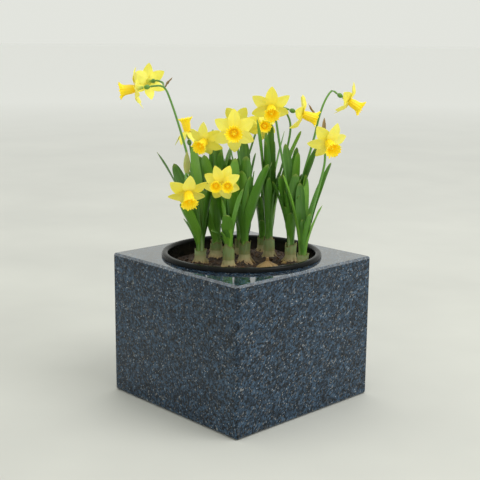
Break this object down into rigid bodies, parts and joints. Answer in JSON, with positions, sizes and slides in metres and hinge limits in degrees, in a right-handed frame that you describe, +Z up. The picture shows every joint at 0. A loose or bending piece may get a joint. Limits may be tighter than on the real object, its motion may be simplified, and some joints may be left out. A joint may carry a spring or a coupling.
{
  "type": "planter",
  "caption": "Square polished granite block planter with a round black insert pot sunk in its top, planted with dwarf daffodils.",
  "frame": {"origin": "the middle of the block's underside", "axes": "+Z up; X and Y square to the block's sides, with the flower that hangs out furthest towards -X -Y"},
  "size_m": [0.2627, 0.2815, 0.453],
  "materials": {
    "granite": "polished blue-grey granite with fine dark, blue and beige grains",
    "pot_plastic": "black satin moulded plastic",
    "soil": "dark, damp, crumbly potting soil",
    "sheath_skin": "thin pale membrane, greenish above and brownish at the foot",
    "bract_paper": "dry brown papery bract",
    "bulb_skin": "dry golden-brown papery tunic",
    "leaf": "smooth green leaf with parallel veins and a light bloom",
    "stem": "smooth green stem",
    "petal": "pale lemon yellow petal with fine veins",
    "trumpet": "deep golden yellow, frilled at the mouth"
  },
  "bodies": {
    "block": {"granite_block": "granite"},
    "insert": {"insert_pot": "pot_plastic"},
    "planting": {"potting_soil": "soil", "sheaths": "sheath_skin", "spathes": "bract_paper", "bulb_1": "bulb_skin", "bulb_2": "bulb_skin", "bulb_3": "bulb_skin", "bulb_4": "bulb_skin", "bulb_5": "bulb_skin", "bulb_6": "bulb_skin", "bulb_7": "bulb_skin", "bulb_8": "bulb_skin", "bulb_9": "bulb_skin", "bulb_10": "bulb_skin", "leaves_1": "leaf", "leaves_2": "leaf", "leaves_3": "leaf", "leaves_4": "leaf", "leaves_5": "leaf", "leaves_6": "leaf", "leaves_7": "leaf", "leaves_8": "leaf", "leaves_9": "leaf", "stems_1": "stem", "stems_2": "stem", "stems_3": "stem", "stems_4": "stem", "stems_5": "stem", "stems_6": "stem", "stems_7": "stem", "stems_8": "stem", "petals_1": "petal", "petals_2": "petal", "petals_3": "petal", "petals_4": "petal", "petals_5": "petal", "petals_6": "petal", "petals_7": "petal", "petals_8": "petal", "petals_9": "petal", "petals_10": "petal", "petals_11": "petal", "petals_12": "petal", "petals_13": "petal", "trumpet_1": "trumpet", "trumpet_2": "trumpet", "trumpet_3": "trumpet", "trumpet_4": "trumpet", "trumpet_5": "trumpet", "trumpet_6": "trumpet", "trumpet_7": "trumpet", "trumpet_8": "trumpet", "trumpet_9": "trumpet", "trumpet_10": "trumpet", "trumpet_11": "trumpet", "trumpet_12": "trumpet", "trumpet_13": "trumpet"}
  },
  "joints": [
    {"name": "insert_lift", "type": "slide", "parent": "block", "child": "insert", "axis": [0, 0, 1], "range_m": [0, 0.18]},
    {"name": "planting_lift", "type": "slide", "parent": "insert", "child": "planting", "axis": [0, 0, 1], "range_m": [0, 0.17]}
  ]
}
